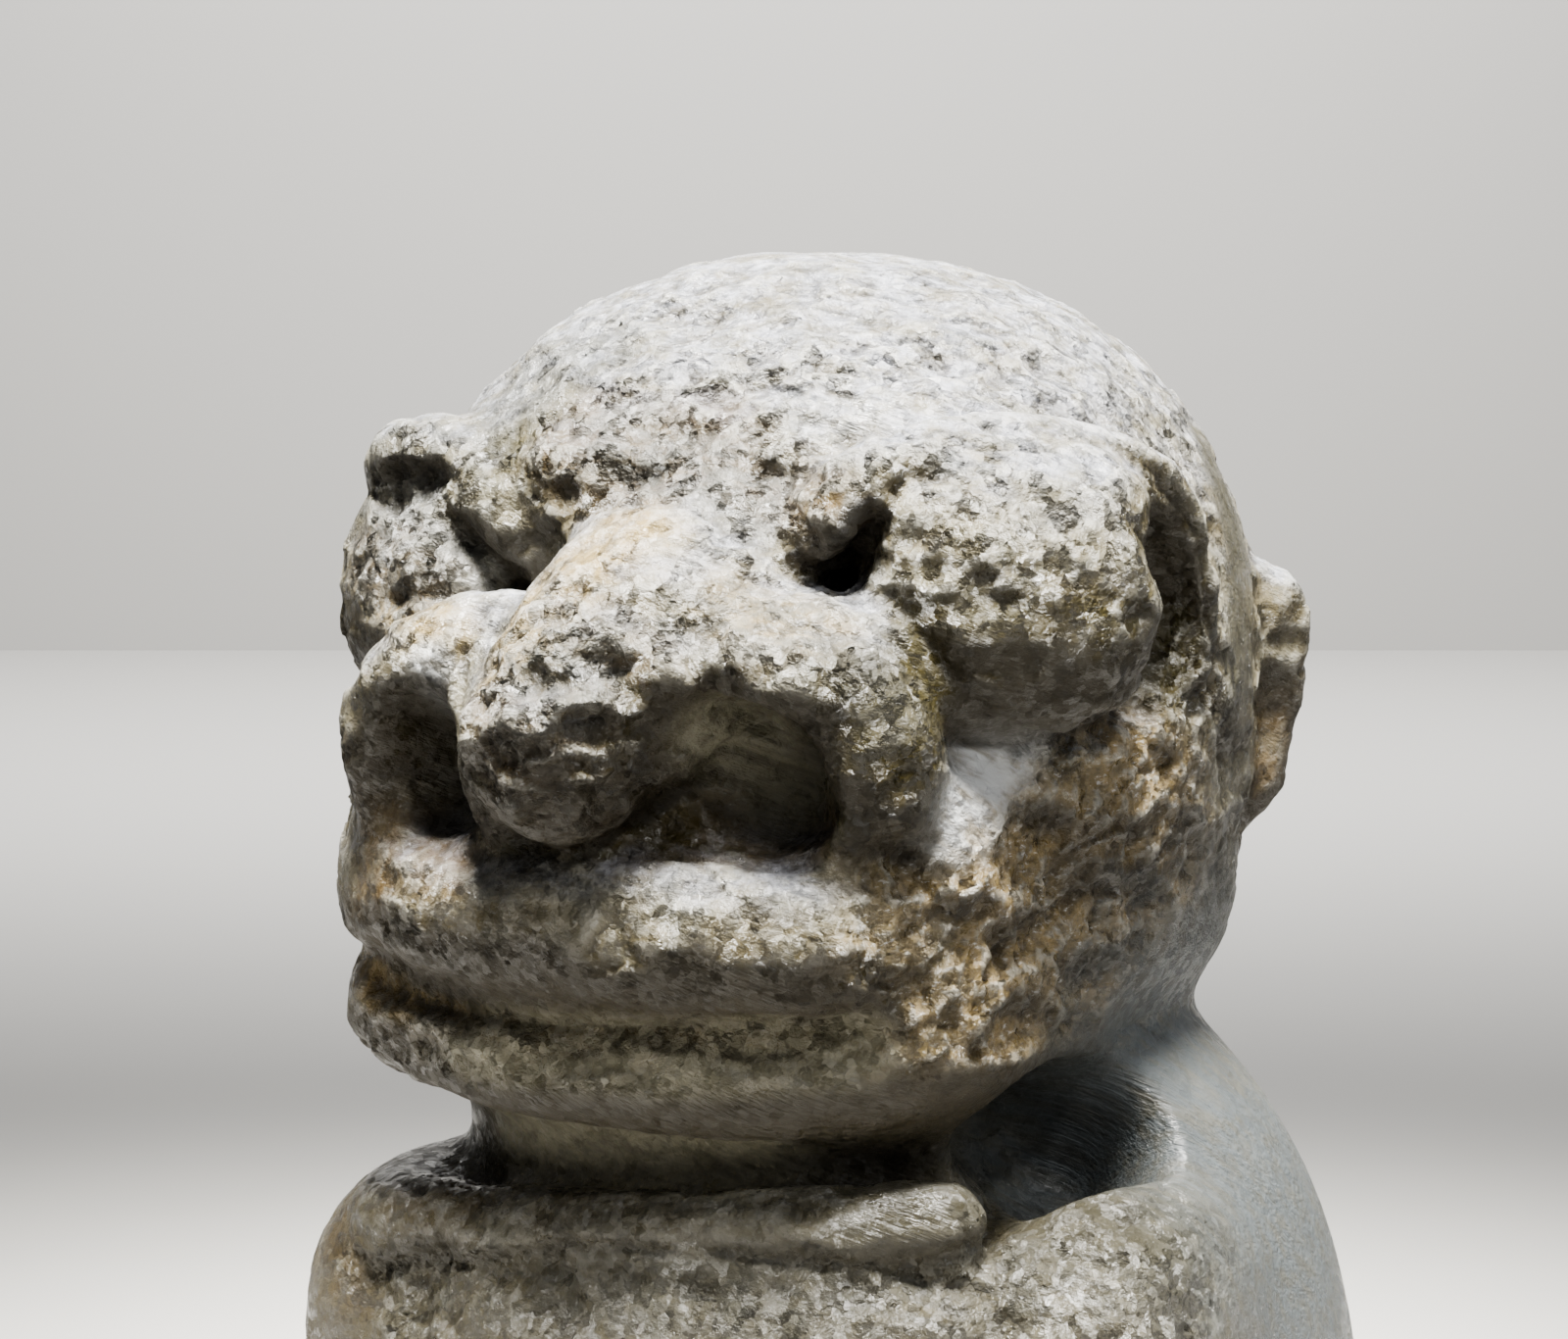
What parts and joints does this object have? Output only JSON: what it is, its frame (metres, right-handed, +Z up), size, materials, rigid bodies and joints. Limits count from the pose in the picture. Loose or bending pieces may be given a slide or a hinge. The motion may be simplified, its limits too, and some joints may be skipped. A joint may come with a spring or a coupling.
{
  "type": "carved stone bust",
  "caption": "Weathered soapstone bust with bulging eyes, a broad nose with ringed nostrils, wide lips and arms folded under the chin, cut flat below.",
  "frame": {"origin": "under the middle of the bounding box, on the flat underside", "axes": "+Z up, the face looks along -Y, and the figure's own left is +X"},
  "size_m": [0.1078, 0.1074, 0.1299],
  "materials": {
    "soapstone": "weathered, pitted grey-beige soapstone, worn smooth on the shoulder"
  },
  "bodies": {
    "root": {"figure": "soapstone"}
  },
  "joints": []
}
